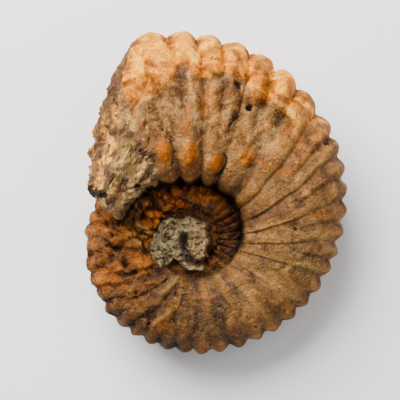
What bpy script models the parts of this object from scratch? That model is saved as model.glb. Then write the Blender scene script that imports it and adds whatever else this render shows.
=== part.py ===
"""Ammonite fossil lying on one flank, with a plug of matrix in its umbilicus. Metres, +Z up."""
import math

import bmesh
import bpy
import numpy as np
from mathutils import Matrix, Vector

for old in list(bpy.data.objects):
    bpy.data.objects.remove(old, do_unlink=True)

MM = 0.001

# Growth of the shell: (turn angle in degrees, size in mm). The coil winds anticlockwise about Z.
CREST_RADIUS = ((-500, 5.4), (-360, 8.6), (-180, 12.6), (-90, 15.2), (0, 18.5), (90, 22.6), (150, 25.4), (185, 26.8),
                (225, 28.0), (270, 28.8), (300, 30.1), (330, 33.1), (360, 37.5), (390, 43.0),
                (420, 47.9), (450, 51.4), (470, 52.8), (530, 54.2))
SEAM_RADIUS = ((-500, 1.9), (-360, 3.0), (-180, 4.5), (-90, 5.4), (0, 6.0), (90, 6.9), (180, 8.2), (225, 8.7),
               (270, 9.3), (315, 10.4), (360, 12.4), (405, 14.0), (450, 14.4), (480, 15.5), (505, 17.2),
               (530, 18.2))
HALF_WIDTH = ((-500, 2.2), (-360, 3.1), (-180, 4.4), (0, 6.0), (90, 7.0), (180, 8.0), (270, 9.6), (315, 10.8),
              (360, 12.6), (405, 15.4), (450, 17.8), (530, 19.5))
SHOULDER_SHIFT = ((-500, 0.10), (330, 0.10), (400, 0.15), (450, 0.20), (530, 0.20))   # of the widest part, inwards
SCALLOP = ((-500, 0.0), (330, 0.0), (400, 0.5), (425, 1.3), (475, 1.2), (490, 0.0))   # waves of the seam, mm
COIL_START = -500.0
COIL_END = 530.0
SECTION_FULLNESS = 0.86      # 1 is an ellipse, less is squarer
SEAM_OVERLAP = 0.6           # how far a whorl reaches down past its seam, mm

# Ribs of the last whorl at the venter, in degrees, then the spacing before and after them
CRESTS = (184.5, 193.5, 203, 211.5, 220.5, 230.5, 238.5, 247.5, 256, 265.5, 274.5, 284, 294, 303.5, 312, 321.5,
          330, 338.5, 347, 354, 362, 370, 377.5, 385, 392.5, 399.5, 409.5, 419, 427.5, 436.5, 444.5, 452, 461.5)
SPACING_BEFORE = ((-500, 12.0), (0, 11.0), (120, 9.0), (184.5, 8.5))
SPACING_AFTER = 9.0
SINGLE_RIB = 26              # this one of the crests runs down alone, the others in pairs
VALLEY_AT = 0.57             # share of the spacing from a crest to the valley after it
RIB_HEIGHT = ((-500, 0.3), (0, 0.6), (150, 0.7), (200, 0.8), (225, 1.05), (240, 1.2), (300, 1.25), (340, 1.35),
              (400, 1.6), (450, 1.6), (530, 0.9))
ON_FLANK = ((-500, 0.5), (150, 0.6), (225, 0.6), (250, 0.28), (318, 0.22), (336, 0.58), (395, 0.68), (412, 0.70),
            (419, 0.5), (445, 0.5), (470, 0.35), (500, 0.12))                 # share of that height
RIB_LEAN = ((-500, 6), (100, 8), (165, 14), (190, 18), (211, 28), (238, 19), (262, 8), (300, 5), (335, 4),
            (350, -1), (363, -6), (378, -11), (393, -13), (411, -14), (421, -8), (440, -8), (457, -7), (530, -5))
FORK = (0.25, 0.45)          # where two ribs join into one, as a share of the whorl's height
KNOB_HEIGHT = ((0, 0.1), (300, 0.2), (400, 0.5), (425, 1.0), (470, 1.1), (490, 0.2), (530, 0))
KNOB_PLACE = 0.18            # share of the whorl's height
HALF_SECTION = (0, 14, 30, 48, 70, 94, 116, 137, 157)   # degrees from the venter
RIB_STEPS = ((0.0, 1.0), (0.28, 0.66), (0.57, 0.0), (0.80, 0.55))   # share of the spacing, height
INNER_STEPS = ((0.0, 1.0), (0.55, 0.0))                             # on the whorls before the last
LAST_WHORL = 150
EARLY_WHORLS = 20

SCAR = (417, 0.57, 7.5, 0.17)  # chipped patch on the upper flank: turn, height share, half sizes
PITS = ((427, 72, 1.1), (495, 141, 1.0), (395.5, 38, 0.9))   # turn, degrees from the venter, size
HEART_RADIUS = 4.8
HEART_HALF_WIDTH = 1.6

# Broken outer end: where it crosses the coil's plane, and how far it leans in for each mm of width
BREAK_LINE = ((-7.0, 56.0, 0.02), (-14.6, 48.6, 0.10), (-20.6, 38.4, 0.24), (-23.4, 28.8, 0.33), (-25.6, 20.0, 0.40),
              (-26.0, 15.0, 0.32), (-25.4, 11.3, 0.2), (-24.4, 8.4, 0.1), (-20.8, 6.0, 0.05), (-17.4, 3.6, 0.0))
BREAK_FROM = 432             # turn angle before which nothing is broken off
BREAK_ROUGHNESS = 0.5
BREAK_HELD = (6, 11)         # over these heights the rough face blends into the rim, mm
BREAK_SEARCH = 0.25          # degrees between tries for where a grid line meets the break

# Plug in the umbilicus, in mm from the coil's middle
PLUG_CENTRE = (-3.4, -1.8)
PLUG_OUTLINE = ((4.1, -2.6), (4.1, 2.0), (4.0, 3.8), (2.3, 4.8), (-3.5, 5.3), (-7.0, 4.8), (-9.2, 2.5),
                (-10.6, -1.6), (-10.4, -5.5), (-9.8, -8.8), (-7.3, -7.1), (-5.5, -6.5), (-4.6, -5.0), (-3.4, -5.9),
                (-1.9, -7.8), (0.2, -8.6), (3.2, -8.9), (3.6, -6.8))
PLUG_FLOOR = 1.8
PLUG_TOP = 6.4
PLUG_TAPER = 0.92
PLUG_LUMPS = (-0.2, 0.9)     # how far its top strays
POCKET_TOP = 30              # above everything
HOLLOW = ((-2.0, 0.3), (-1.6, -3.0), (-0.3, -5.4), (1.2, -6.3), (3.0, -5.8))
HOLLOW_DEPTH = 1.8
GAP = 0.3                    # between the plug and the pocket's walls

LEAN_X = 9.6                 # how the coil leans when the fossil lies on its wide last part, degrees
LEAN_Y = 5.3
WEAR = 0.5                   # worn off the ribs that it rests on


def curve(knots, at):
    """Smooth curve through the knots."""
    x, y = np.array(knots, float).T
    slope = np.gradient(y, x)
    at = np.clip(at, x[0], x[-1])
    i = np.clip(np.searchsorted(x, at) - 1, 0, len(x) - 2)
    step = x[i + 1] - x[i]
    t = (at - x[i]) / step
    return ((1 + 2 * t) * (1 - t) ** 2 * y[i] + t * (1 - t) ** 2 * step * slope[i]
            + t * t * (3 - 2 * t) * y[i + 1] + t * t * (t - 1) * step * slope[i + 1])


def ease(low, high, value):
    t = np.clip((value - low) / (high - low), 0, 1)
    return t * t * (3 - 2 * t)


def rib_crests():
    """Turn angles of the rib crests, in order, with the number of them before the measured ones."""
    crests = list(CRESTS)
    while crests[-1] < COIL_END + 20:
        crests.append(crests[-1] + SPACING_AFTER)
    before = 0
    while crests[0] > COIL_START - 20:
        crests.insert(0, crests[0] - float(curve(SPACING_BEFORE, crests[0])))
        before += 1
    return crests, before


def pair_valleys(crests, before):
    """Valleys between the pairs of ribs."""
    single = before + SINGLE_RIB
    return [crests[i - 1] + VALLEY_AT * (crests[i] - crests[i - 1]) for i in range(1, len(crests))
            if ((i - before) % 2 == 0) == (i <= single)]


def stations():
    """Grid lines across the coil: angle at the venter, rib height there, height of the joined pair."""
    crests, before = rib_crests()
    valleys = pair_valleys(crests, before)
    rows = []
    for low, high in zip(crests, crests[1:]):
        steps = RIB_STEPS if low > LAST_WHORL else INNER_STEPS
        for share, height in steps if low > EARLY_WHORLS else steps[:1]:
            angle = low + (high - low) * share
            i = int(np.clip(np.searchsorted(valleys, angle), 1, len(valleys) - 1))
            across = (angle - valleys[i - 1]) / (valleys[i] - valleys[i - 1])
            if COIL_START <= angle <= COIL_END:
                rows.append((angle, height, math.sin(math.pi * min(max(across, 0), 1))))
    return rows


def surface(angle, height, pair, phi):
    """A point of the whorl's skin, in mm."""
    c, s = math.cos(phi), math.sin(phi)
    along = math.copysign(abs(c) ** SECTION_FULLNESS, c)
    across = math.copysign(abs(s) ** SECTION_FULLNESS, s)
    shift = float(curve(SHOULDER_SHIFT, angle))
    share = 0.5 + 0.5 * along - shift * (1 - along * along)
    turn = angle + float(curve(RIB_LEAN, angle)) * (1 - share) ** 1.2
    outer = float(curve(CREST_RADIUS, turn))
    inner = float(curve(SEAM_RADIUS, turn)) - SEAM_OVERLAP - float(curve(SCALLOP, turn)) * (pair - 0.5)
    width = float(curve(HALF_WIDTH, turn))
    on_flank = float(curve(ON_FLANK, turn))
    rib = float(curve(RIB_HEIGHT, turn)) * (on_flank + (1 - on_flank) * float(ease(0.74, 0.95, share)))
    forked = float(ease(*FORK, share))
    relief = rib * ((forked * height + (1 - forked) * pair) - 1) * float(ease(-0.02, 0.15, share))
    knob = math.exp(-((share - KNOB_PLACE) / 0.10) ** 2) * pair ** 2
    relief += float(curve(KNOB_HEIGHT, turn)) * knob
    if s > 0:
        chipped = math.exp(-((turn - SCAR[0]) / SCAR[2]) ** 4 - ((share - SCAR[1]) / SCAR[3]) ** 4)
        relief += chipped * (-1.2 - relief)
    radius = inner + (outer - inner) * share
    length = math.hypot(c / (outer - inner), s / (2 * width))
    radius += relief * c / (outer - inner) / length
    z = width * across + relief * s / (2 * width) / length
    a = math.radians(turn)
    return Vector((radius * math.cos(a), radius * math.sin(a), z))


def closed_mesh(name, rings):
    """Loft through closed rings of equal length, with a fan over each end."""
    mesh = bmesh.new()
    grid = [[mesh.verts.new(p * MM) for p in ring] for ring in rings]
    count = len(rings[0])
    for low, high in zip(grid, grid[1:]):
        for j in range(count):
            k = (j + 1) % count
            mesh.faces.new((low[j], low[k], high[k], high[j]))
    for ring in (grid[0], grid[-1]):
        middle = mesh.verts.new(sum((v.co for v in ring), Vector()) / count)
        for j in range(count):
            mesh.faces.new((ring[j], ring[(j + 1) % count], middle))
    bmesh.ops.remove_doubles(mesh, verts=mesh.verts, dist=0.001 * MM)
    bmesh.ops.recalc_face_normals(mesh, faces=mesh.faces)
    bmesh.ops.triangulate(mesh, faces=mesh.faces)
    data = bpy.data.meshes.new(name)
    mesh.to_mesh(data)
    mesh.free()
    return bpy.data.objects.new(name, data)


def break_at(y, z):
    """How far left the stone reaches at a height and a depth, on the broken outer end."""
    line = np.array(BREAK_LINE[::-1])
    return float(np.interp(y, line[:, 1], line[:, 0]) + np.interp(y, line[:, 1], line[:, 2]) * abs(z))


def stop_angle(phi):
    """Where the grid line at this place on the section meets the break."""
    angle = BREAK_FROM
    while angle < COIL_END:
        point = surface(angle, 0.5, 0.5, phi)
        if point.x < break_at(point.y, point.z):
            break
        angle += BREAK_SEARCH
    return angle


def broken_face(rim):
    """Rings from the rim of the break towards its middle, on a rough, wedge-shaped face."""
    rough = np.random.default_rng(7)
    middle = sum(rim, Vector()) / len(rim)
    rings = []
    for share in (0.3, 0.62, 0.9):
        ring = [point.lerp(middle, share) for point in rim]
        for point in ring:
            on_face = break_at(point.y, point.z) + float(rough.uniform(-BREAK_ROUGHNESS, BREAK_ROUGHNESS))
            point.x += (on_face - point.x) * float(ease(*BREAK_HELD, point.y))
        rings.append(ring)
    return rings


def coil():
    around = [math.radians(a) for a in HALF_SECTION]
    around += [math.pi] + [2 * math.pi - a for a in reversed(around[1:])]
    stops = [stop_angle(phi) for phi in around]
    rings = []
    for angle, height, pair in stations():
        rings.append([surface(angle, height, pair, phi) if angle < stop else surface(stop, 0.5, 0.5, phi)
                      for phi, stop in zip(around, stops)])
    rings.append([surface(stop, 0.5, 0.5, phi) for phi, stop in zip(around, stops)])
    return closed_mesh("ammonite", rings + broken_face(rings[-1]))


def heart():
    """The first whorls, too small to tell apart, as one low dome on each side."""
    bpy.ops.mesh.primitive_uv_sphere_add(segments=12, ring_count=6, radius=HEART_RADIUS * MM)
    dome = bpy.context.object
    dome.scale.z = HEART_HALF_WIDTH / HEART_RADIUS
    return dome


def pit(turn, phi, size):
    """Ball that sinks halfway into the skin."""
    bpy.ops.mesh.primitive_ico_sphere_add(subdivisions=2, radius=size * MM,
                                          location=surface(turn, 0.6, 0.6, math.radians(phi)) * MM)
    return bpy.context.object


def plug_ring(z, share, gap):
    """Ring of the plug at one height; the gap pulls it in from the fossil round it."""
    middle = Vector(PLUG_CENTRE)
    taper = PLUG_TAPER if z < PLUG_TOP / 2 else 1
    ring = []
    for point in PLUG_OUTLINE:
        out = Vector(point) - middle
        place = middle + out.normalized() * (out.length * taper - gap) * share
        ring.append(Vector((*place, z)))
    return ring


def pocket():
    """Hollow of the umbilicus that holds the plug."""
    return closed_mesh("pocket", [plug_ring(PLUG_FLOOR, 1, 0), plug_ring(PLUG_TOP, 1, 0), plug_ring(POCKET_TOP, 1, 0)])


def hollow(point):
    """Depth share of the crooked hollow in the plug's top, by the distance from its line."""
    nearest = 99.0
    for start, end in zip(HOLLOW, HOLLOW[1:]):
        a, b = Vector(start), Vector(end)
        share = min(max((point.xy - a).dot(b - a) / (b - a).length_squared, 0), 1)
        nearest = min(nearest, (point.xy - a - (b - a) * share).length)
    return math.exp(-nearest ** 2)


def plug():
    """Rubbly rock: straight sides in the pocket, a lumpy top with the hollow."""
    rings = [plug_ring(PLUG_FLOOR + GAP, 1, GAP), plug_ring(PLUG_TOP, 1, GAP)]
    rough = np.random.default_rng(3)
    for share in (0.84, 0.66, 0.48, 0.3, 0.14):
        ring = plug_ring(PLUG_TOP, share, GAP)
        for point in ring:
            point.z += float(rough.uniform(*PLUG_LUMPS)) - HOLLOW_DEPTH * hollow(point)
        rings.append(ring)
    return closed_mesh("umbilicus_matrix", rings)


def join(body, other, operation, itself=False):
    """Union or cut, applied at once so that the next step starts from a plain mesh."""
    change = body.modifiers.new(operation, "BOOLEAN")
    change.operation = operation
    change.solver = "EXACT"
    change.use_self = itself
    change.object = other
    done = body.evaluated_get(bpy.context.evaluated_depsgraph_get())
    body.data = bpy.data.meshes.new_from_object(done)
    body.modifiers.clear()
    bpy.data.objects.remove(other)


def worn_flat(body, height):
    """Cuts off what lies below a level, and closes the cut."""
    mesh = bmesh.new()
    mesh.from_mesh(body.data)
    cut = bmesh.ops.bisect_plane(mesh, geom=mesh.verts[:] + mesh.edges[:] + mesh.faces[:],
                                 plane_co=(0, 0, height), plane_no=(0, 0, 1), clear_inner=True)
    edges = [part for part in cut["geom_cut"] if isinstance(part, bmesh.types.BMEdge)]
    bmesh.ops.holes_fill(mesh, edges=edges)
    bmesh.ops.triangulate(mesh, faces=mesh.faces)
    mesh.to_mesh(body.data)
    mesh.free()


def material(name, colour, roughness):
    stone = bpy.data.materials.new(name)
    stone.use_nodes = True
    finish = stone.node_tree.nodes["Principled BSDF"]
    finish.inputs["Base Color"].default_value = (*colour, 1)
    finish.inputs["Roughness"].default_value = roughness
    finish.inputs["Metallic"].default_value = 0
    return stone


model = bpy.data.collections.new("ammonite_fossil")
bpy.context.scene.collection.children.link(model)
ammonite = coil()
model.objects.link(ammonite)
join(ammonite, heart(), "UNION", itself=True)
for cutter in (pocket(), *(pit(*place) for place in PITS)):
    join(ammonite, cutter, "DIFFERENCE")
matrix = plug()
model.objects.link(matrix)
lie = Matrix.Rotation(math.radians(LEAN_X), 4, "X") @ Matrix.Rotation(math.radians(LEAN_Y), 4, "Y")
for piece in (ammonite, matrix):
    piece.data.transform(lie)
corners = np.array([vertex.co for vertex in ammonite.data.vertices])
low, high = corners.min(axis=0), corners.max(axis=0)
seat = Vector((-(low[0] + high[0]) / 2, -(low[1] + high[1]) / 2, -low[2] - WEAR * MM))
for piece in (ammonite, matrix):
    piece.data.transform(Matrix.Translation(seat))
worn_flat(ammonite, 0)
ammonite.data.materials.append(material("ochre_stone", (0.30, 0.14, 0.05), 0.6))
matrix.data.materials.append(material("grey_green_rock", (0.25, 0.20, 0.11), 0.9))
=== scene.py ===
import math

import bpy
import numpy as np
from mathutils import Matrix, Vector, noise


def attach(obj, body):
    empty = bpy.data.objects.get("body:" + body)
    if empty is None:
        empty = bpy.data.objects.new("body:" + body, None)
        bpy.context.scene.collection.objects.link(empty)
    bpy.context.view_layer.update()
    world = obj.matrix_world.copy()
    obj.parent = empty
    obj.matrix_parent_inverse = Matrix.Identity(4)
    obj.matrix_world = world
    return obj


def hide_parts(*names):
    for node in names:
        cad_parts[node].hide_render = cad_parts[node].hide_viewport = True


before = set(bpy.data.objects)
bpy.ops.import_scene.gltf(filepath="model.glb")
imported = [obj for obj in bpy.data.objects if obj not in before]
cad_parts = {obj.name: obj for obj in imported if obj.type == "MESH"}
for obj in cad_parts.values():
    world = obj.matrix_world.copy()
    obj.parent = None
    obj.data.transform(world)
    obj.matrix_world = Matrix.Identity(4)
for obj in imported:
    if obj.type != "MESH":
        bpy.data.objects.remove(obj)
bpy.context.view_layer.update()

mm = 0.001

# where the coil's middle sits in the frame (mm), and how the coil leans as the fossil lies (degrees)
pose = {"middle": (-6.030, -11.119, 14.017), "leanX": 9.6, "leanY": 5.3}

leanX = Matrix.Rotation(math.radians(pose["leanX"]), 4, "X")
leanY = Matrix.Rotation(math.radians(pose["leanY"]), 4, "Y")
coilPlace = Matrix.Translation(Vector(pose["middle"]) * mm) @ (leanX @ leanY)
coilToFrame = coilPlace @ Matrix.Scale(mm, 4)

# growth of the shell: turn angle in degrees, then mm, anticlockwise from the right
coil = {
    "crestRadius": ((-500, 5.4), (-360, 8.6), (-180, 12.6), (-90, 15.2), (0, 18.5), (90, 22.6), (150, 25.4),
                    (185, 26.8), (225, 28.0), (270, 28.8), (300, 30.1), (330, 33.1), (360, 37.5),
                    (390, 43.0), (420, 47.9), (450, 51.4), (470, 52.8), (530, 54.2)),
    "seamRadius": ((-500, 1.9), (-360, 3.0), (-180, 4.5), (-90, 5.4), (0, 6.0), (90, 6.9), (180, 8.2),
                   (225, 8.7), (270, 9.3), (315, 10.4), (360, 12.4), (405, 14.0), (450, 14.4), (480, 15.5),
                   (505, 17.2), (530, 18.2)),
    "halfWidth": ((-500, 2.2), (-360, 3.1), (-180, 4.4), (0, 6.0), (90, 7.0), (180, 8.0), (270, 9.6),
                  (315, 10.8), (360, 12.6), (405, 15.4), (450, 17.8), (530, 19.5)),
    "start": -500.0,
    "split": 156.0,          # the last whorl starts here
    "end": 530.0,
    "fullness": 0.86,        # 1 is an ellipse, less is squarer
    # how far the widest part sits towards the umbilicus
    "shoulderShift": ((-500, 0.10), (330, 0.10), (400, 0.15), (450, 0.20), (521, 0.20)),
    # how far the seam dips under each pair of ribs
    "scallop": ((-500, 0.0), (330, 0.0), (400, 0.5), (425, 1.3), (475, 1.2), (490, 0.0)),
    "seamOverlap": 0.6,      # how far a whorl reaches down past its seam
}

# ribs: two run together into one part of the way down the flank
ribs = {
    "crests": (184.5, 193.5, 203, 211.5, 220.5, 230.5, 238.5, 247.5, 256, 265.5, 274.5, 284, 294, 303.5,
               312, 321.5, 330, 338.5, 347, 354, 362, 370, 377.5, 385, 392.5, 399.5, 409.5, 419, 427.5,
               436.5, 444.5, 452, 461.5),
    "before": ((-500, 12.0), (0, 11.0), (120, 9.0), (184.5, 8.5)),   # spacing of the ribs before those
    "after": 9.0,
    "height": ((-500, 0.3), (-40, 0.7), (20, 1.1), (100, 0.7), (150, 0.7), (200, 0.8), (225, 1.05),
               (240, 1.2), (300, 1.25), (340, 1.4), (385, 1.6), (405, 1.9), (420, 2.1), (465, 2.2),
               (521, 0.9)),
    "lean": ((-500, 6), (100, 8), (165, 14), (190, 18), (211, 28), (238, 19), (262, 8), (300, 5), (335, 4),
             (350, -1), (363, -6), (378, -11), (393, -13), (411, -14), (421, -8), (440, -8), (457, -7),
             (521, -5)),
    "leanPower": 1.2,        # above 1 the lean gathers towards the umbilicus
    # how sharp a crest is: low is flat-topped, high is narrow; on the flank and at the outer edge
    "sharpFlank": ((-500, 0.6), (165, 0.6), (190, 0.35), (225, 0.4), (250, 0.6), (521, 0.6)),
    "sharpEdge": ((-500, 0.9), (180, 0.8), (225, 1.2), (300, 1.3), (345, 1.3), (385, 1.1), (405, 0.8),
                  (521, 0.7)),
    # height of the ribs on the flank, as a share of that at the outer edge
    "onFlank": ((-500, 0.5), (150, 0.6), (225, 0.6), (250, 0.28), (318, 0.22), (336, 0.34), (360, 0.45),
                (395, 0.6), (412, 0.64), (419, 0.68), (450, 0.76), (470, 0.5), (500, 0.12)),
    "fork": (0.34, 0.54),    # share of the whorl's height over which a pair runs together
    # how much nearer the umbilicus they run together on the early whorls
    "forkShift": ((-500, 0.34), (40, 0.34), (100, 0.0), (521, 0.0)),
    "single": 26,            # this one of the crests runs down alone
    "wobble": 1.1,           # degrees that a rib strays from its line
    "valleyAt": 0.57,        # share of the spacing from a crest to the valley after it
    # how much further that is on the flank, where one side of a rib is steep
    "steepSide": ((-500, 0.0), (300, 0.0), (335, 0.16), (400, 0.18), (415, 0.0), (521, 0.0)),
    "steepPairs": (330, 408),        # joined pairs between these turns are moved too
    "steepPairShift": 1.44,          # by this many degrees
    "pairSkew": 2.4,                 # how far a steep side skews a joined pair
    "pairRoundness": 0.6,
    # painted highlight along the steep side: place across the pair, half width, and its own skew and strength
    "highlightLine": {"at": 0.22, "halfWidth": 0.12, "skew": 1.6, "strength": 8},
}

# the outer layer has flaked off the upper flank, down to knobs that kept it: turn, then mm from the middle
flake = {
    "edge": ((404, 27), (410, 34), (415, 38.5), (419, 38.7), (427, 38.5), (431, 41.5), (436.5, 43.2),
             (441, 42), (444.5, 40), (452, 43), (461.5, 37.5), (480, 36.5)),
    "depth": ((406, 0.0), (412, 0.85), (438, 0.8), (446, 0.3), (454, 0.0), (480, 0.0)),
    "softness": ((406, 0.35), (438, 0.4), (450, 1.6), (480, 2.0)),
    "foot": (23.5, 27.5),    # inside these radii the layer is whole again
    "zigzag": 1.6,           # the layer reaches lower on a crest than in a valley
    "starts": (409.0, 411.5), "fades": (468, 478),
    # painted shadow just below the layer's edge: the turns where it shows, and how dark it is
    "edgeShadowTurns": ((411, 413), (438, 444)), "edgeShadow": 0.36,
}

# knobs at the inner ends of the last ribs: turn, radius, half length along the rib, half width, height, and how
# dark the line beside it is
knobs = ((416.5, 23.8, 2.6, 1.9, 0.6, 0.2), (432.5, 19.2, 2.6, 1.8, 0.8, 0.7),
         (451.5, 20.4, 3.3, 1.9, 0.9, 0.0), (467.6, 22.4, 3.0, 1.75, 1.2, 0.6))

# pits: turn, radius, half size, depth; a deeper pit gets more painted shade
pits = ((426.6, 36.0, 0.95, 2.2), (433.5, 40.3, 0.9, 0.9), (496, 18.3, 0.75, 1.4), (395, 41.6, 0.9, 0.9),
        (465.5, 27.8, 0.6, 0.7), (428, 32, 0.45, 0.6), (427.6, 29.6, 0.4, 0.6), (465.5, 31.5, 0.4, 0.7),
        (465.2, 34.5, 0.35, 0.5), (177.5, 19.8, 0.9, 0.7), (188.5, 19.5, 0.8, 0.7), (171, 21.8, 0.7, 0.8),
        (172, 25, 0.4, 0.6), (202, 17.6, 0.9, 0.6), (210.5, 16.3, 0.8, 0.6), (227, 20.4, 0.5, 0.6),
        (224, 19.2, 0.5, 0.6), (243, 23.8, 0.5, 0.8), (366, 25.6, 0.8, 0.5), (382.5, 29, 0.6, 0.4),
        (396, 43.2, 0.7, 0.8), (306, 27, 0.4, 0.4), (299.5, 28.6, 0.4, 0.4))

# broken outer end: where the break crosses the coil's plane, and how much it leans in for each mm of width
breakLine = ((-7.0, 56.0, 0.02), (-14.6, 48.6, 0.10), (-20.6, 38.4, 0.24), (-23.4, 28.8, 0.33),
             (-25.6, 20.0, 0.40), (-26.0, 15.0, 0.32), (-25.4, 11.3, 0.2), (-24.4, 8.4, 0.1),
             (-20.8, 6.0, 0.05), (-17.4, 3.6, 0.0))
breakLumps = 0.9             # mm that the edge of the break strays from that
# line of black crust on the break, in mm from the coil's middle
blackCrust = ((-26.5, 12.4), (-24.0, 11.6), (-21.0, 10.4))

# lines on the upper side, in mm from the coil's middle: points, half width, height (below 0 is a groove), and
# how dark and how pale it is
# the dark is black crust on the raised line by the break and painted shade in the grooves
marks = (
    (((-17.5, 33.0), (-18.1, 27.0), (-18.0, 22.4), (-20.2, 17.2), (-22.8, 12.4)), 0.8, 0.5, 0.0, 0.5),
    (((-16.0, 20.0), (-13.2, 16.5)), 0.45, 0.4, 0.0, 1.0),
    (((-24.0, 11.8), (-21.0, 10.6)), 1.0, 0.2, 0.9, 0.0),
    (((-22.0, 15.0), (-20.0, 12.0)), 0.7, -0.5, 0.6, 0.0),
    (((-11.6, 26.0), (-10.9, 29.0), (-11.4, 32.0)), 0.3, -0.4, 0.6, 0.0),
    (((-12.2, 34.5), (-11.0, 38.0), (-10.8, 42.0)), 0.3, -0.35, 0.5, 0.0),
    (((9.2, 27.5), (10.6, 29.8), (12.2, 31.0)), 0.3, -0.4, 0.6, 0.0),
    (((12.6, 31.0), (12.6, 26.0), (11.2, 21.0)), 1.5, -0.5, 0.26, 0.0),
    (((3.2, 37.0), (4.0, 30.0), (4.6, 20.0)), 1.1, -0.35, 0.12, 0.0),
    (((-1.0, 40.0), (0.6, 34.0), (1.4, 27.0)), 0.45, 0.2, 0.0, 0.7),
    (((-10.4, 24.6), (-10.8, 21.6), (-8.6, 18.6)), 0.3, -0.3, 0.6, 0.0),
    (((12.0, 19.0), (17.0, 25.0), (24.0, 31.0), (31.0, 36.0)), 0.9, -0.5, 0.0, 0.0),
    (((-9.2, -20.7), (-3.5, -17.0), (-2.5, -13.2)), 0.8, 0.5, 0.0, 0.3),
    (((-6.5, -13.2), (-3.5, -10.2)), 1.0, 0.9, 0.0, 0.4),
    (((-16.8, 3.8), (-15.4, 7.0)), 0.7, 1.2, 0.0, 0.6),
    (((-13.2, 3.6), (-11.2, 1.4)), 0.7, 1.2, 0.0, 0.6),
    (((-15.6, 1.0), (-13.0, -1.4)), 0.7, 1.0, 0.0, 0.3),
    (((-13.8, 10.6), (-11.4, 8.2)), 0.8, 0.9, 0.0, 0.2),
    (((-12.0, 5.6), (-10.4, 8.6)), 0.45, -0.8, 0.6, 0.0),
    (((-14.6, 1.6), (-12.2, -0.4), (-11.2, -4.0)), 0.4, -0.7, 0.6, 0.0),
    (((-14.6, 9.6), (-13.4, 6.6)), 0.7, 0.9, 0.0, 0.5),
    (((-15.2, 3.2), (-13.8, 6.4), (-12.6, 9.0)), 0.4, -0.5, 0.7, 0.0),
    (((-23.4, 5.6), (-20.4, 3.4), (-17.6, 1.4)), 0.7, -0.7, 0.45, 0.0),
    (((-22.4, -6.5), (-19.0, -5.2), (-16.4, -6.4)), 0.8, -0.5, 0.45, 0.0),
    (((-21.0, -1.6), (-18.2, -2.8), (-16.6, -1.2)), 0.8, -0.5, 0.5, 0.0),
    (((-19.6, -12.0), (-15.0, -11.0), (-13.2, -8.2)), 0.7, -0.45, 0.4, 0.0),
)


def curveAt(knots, at):
    x, y = np.array(knots, float).T
    slope = np.gradient(y, x)
    at = np.clip(at, x[0], x[-1])
    i = np.clip(np.searchsorted(x, at) - 1, 0, len(x) - 2)
    step = x[i + 1] - x[i]
    t = (at - x[i]) / step
    return ((1 + 2 * t) * (1 - t) ** 2 * y[i] + t * (1 - t) ** 2 * step * slope[i]
            + t * t * (3 - 2 * t) * y[i + 1] + t * t * (t - 1) * step * slope[i + 1])


def ease(low, high, value):
    t = np.clip((value - low) / (high - low), 0, 1)
    return t * t * (3 - 2 * t)


def lumps(points, size, octaves=3, offset=0.0):
    # fractal noise over an array of points, about -1 to 1
    shift = Vector((offset, offset * 1.7, offset * 0.6))
    flat = points.reshape(-1, 3)
    field = [noise.fractal(Vector(p) / size + shift, 1.0, 2.0, octaves) for p in flat]
    return np.array(field).reshape(points.shape[:-1])


def rubble(points, size, mask, offset=0.0):
    # angular blocks: a number from 0 to 1 for each block, and 1 in the gaps between them
    shade, gap = np.full(mask.shape, 0.5), np.zeros(mask.shape)
    for at in zip(*np.nonzero(mask > 0.02)):
        distances, centres = noise.voronoi(Vector(points[at]) / size + Vector((offset, 0, 0)))
        shade[at] = noise.noise(centres[0] * 7.3) * 0.7 + 0.5
        gap[at] = math.exp(-((distances[1] - distances[0]) / 0.16) ** 2)
    return shade, gap * mask


def fromSpot(turn, radius, spot, halfTurnwise, halfRadial):
    # distance from a place on the flank, 1 at the edge of an oval of these half sizes (mm)
    aside = np.radians(turn - spot[0]) * spot[1] / halfTurnwise
    return np.hypot(aside, (radius - spot[1]) / halfRadial)


def toLine(points, line):
    # distance in mm, seen from above, from a line of points
    best = np.full(points.shape[:-1], 1e3)
    for a, b in zip(np.array(line[:-1], float), np.array(line[1:], float)):
        fromA = points[..., :2] - a
        share = np.clip((fromA @ (b - a)) / ((b - a) @ (b - a)), 0, 1)
        away = fromA - share[..., None] * (b - a)
        best = np.minimum(best, np.hypot(away[..., 0], away[..., 1]))
    return best


def ribCrests():
    crests = list(ribs["crests"])
    while crests[-1] < coil["end"] + 20:
        crests.append(crests[-1] + ribs["after"])
    before = 0
    while crests[0] > coil["start"] - 20:
        crests.insert(0, crests[0] - float(curveAt(ribs["before"], crests[0])))
        before += 1
    return np.array(crests), before


crests, crestsBefore = ribCrests()


def pairValleys():
    # the valleys between the pairs of ribs
    at = [crests[i] - (1 - ribs["valleyAt"]) * (crests[i] - crests[i - 1]) for i in range(1, len(crests))]
    single = crestsBefore + ribs["single"]
    starts = [i for i in range(1, len(crests)) if ((i - crestsBefore) % 2 == 0) == (i <= single)]
    return np.array([at[i - 1] for i in starts])


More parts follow.
